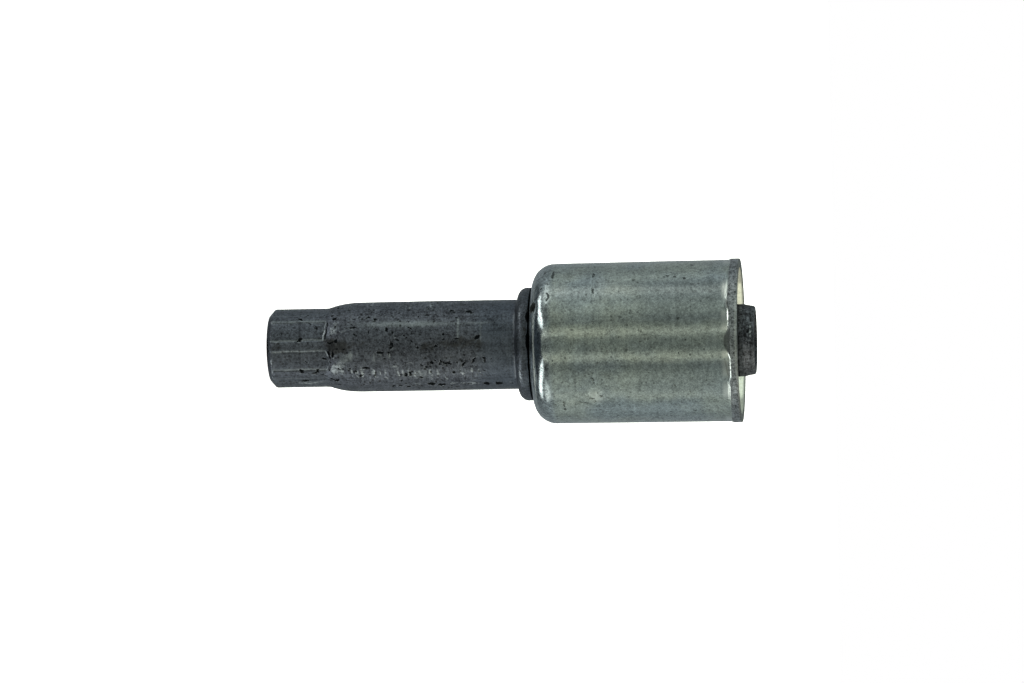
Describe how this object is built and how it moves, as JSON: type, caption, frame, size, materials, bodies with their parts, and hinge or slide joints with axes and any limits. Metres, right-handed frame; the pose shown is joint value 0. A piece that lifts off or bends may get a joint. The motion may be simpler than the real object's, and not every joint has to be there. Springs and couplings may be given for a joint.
{
  "type": "weld-on hose end fitting",
  "caption": "Straight steel tube stub with a reduced weld end, a locking bead, a hose nipple and a captive crimp ferrule that turns freely.",
  "frame": {"origin": "centre of the weld end's flat end face, on the tube axis; the part stands on this end", "axes": "+Z along the tube axis from the weld end to the hose end; -Y is the side that faces the viewer in the picture"},
  "size_m": [0.0288, 0.0288, 0.0861],
  "materials": {
    "stem_steel": "oiled dark grey mill finish, scratched and pitted, satin",
    "ferrule_zinc": "zinc plated with a pale yellow-green passivation, satin with fine marks"
  },
  "bodies": {
    "stem": {"stem": "stem_steel"},
    "ferrule": {"ferrule": "ferrule_zinc"}
  },
  "joints": [
    {"name": "ferrule_spin", "type": "hinge", "parent": "stem", "child": "ferrule", "pos_m": [0, 0, 0.0477], "axis": [0, 0, 1], "continuous": true}
  ]
}
